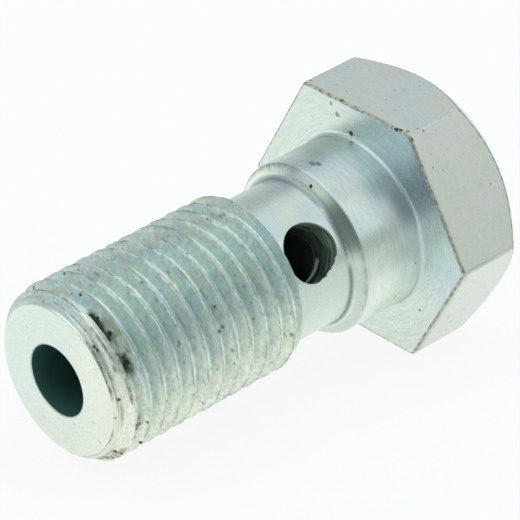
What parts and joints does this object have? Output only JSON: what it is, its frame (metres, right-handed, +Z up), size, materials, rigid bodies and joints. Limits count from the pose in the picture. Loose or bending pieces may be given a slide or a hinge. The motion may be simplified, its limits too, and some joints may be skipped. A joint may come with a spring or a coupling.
{
  "type": "banjo bolt",
  "caption": "Hollow banjo bolt: chamfered hexagon head, locating collar, neck with a cross hole, and a fine-threaded shank bored from its tip.",
  "frame": {"origin": "middle of the footprint of the bolt as it lies on a flat surface, at the height of that surface", "axes": "+X from the tip to the head, along the lying bolt; +Z up; the bolt's own axis climbs 5.49 degrees from +X towards the head"},
  "size_m": [0.0272, 0.016, 0.0142],
  "materials": {
    "zinc_plated_steel": "zinc plated, satin, turned and wire-worn"
  },
  "bodies": {
    "root": {"banjo_bolt": "zinc_plated_steel"}
  },
  "joints": []
}
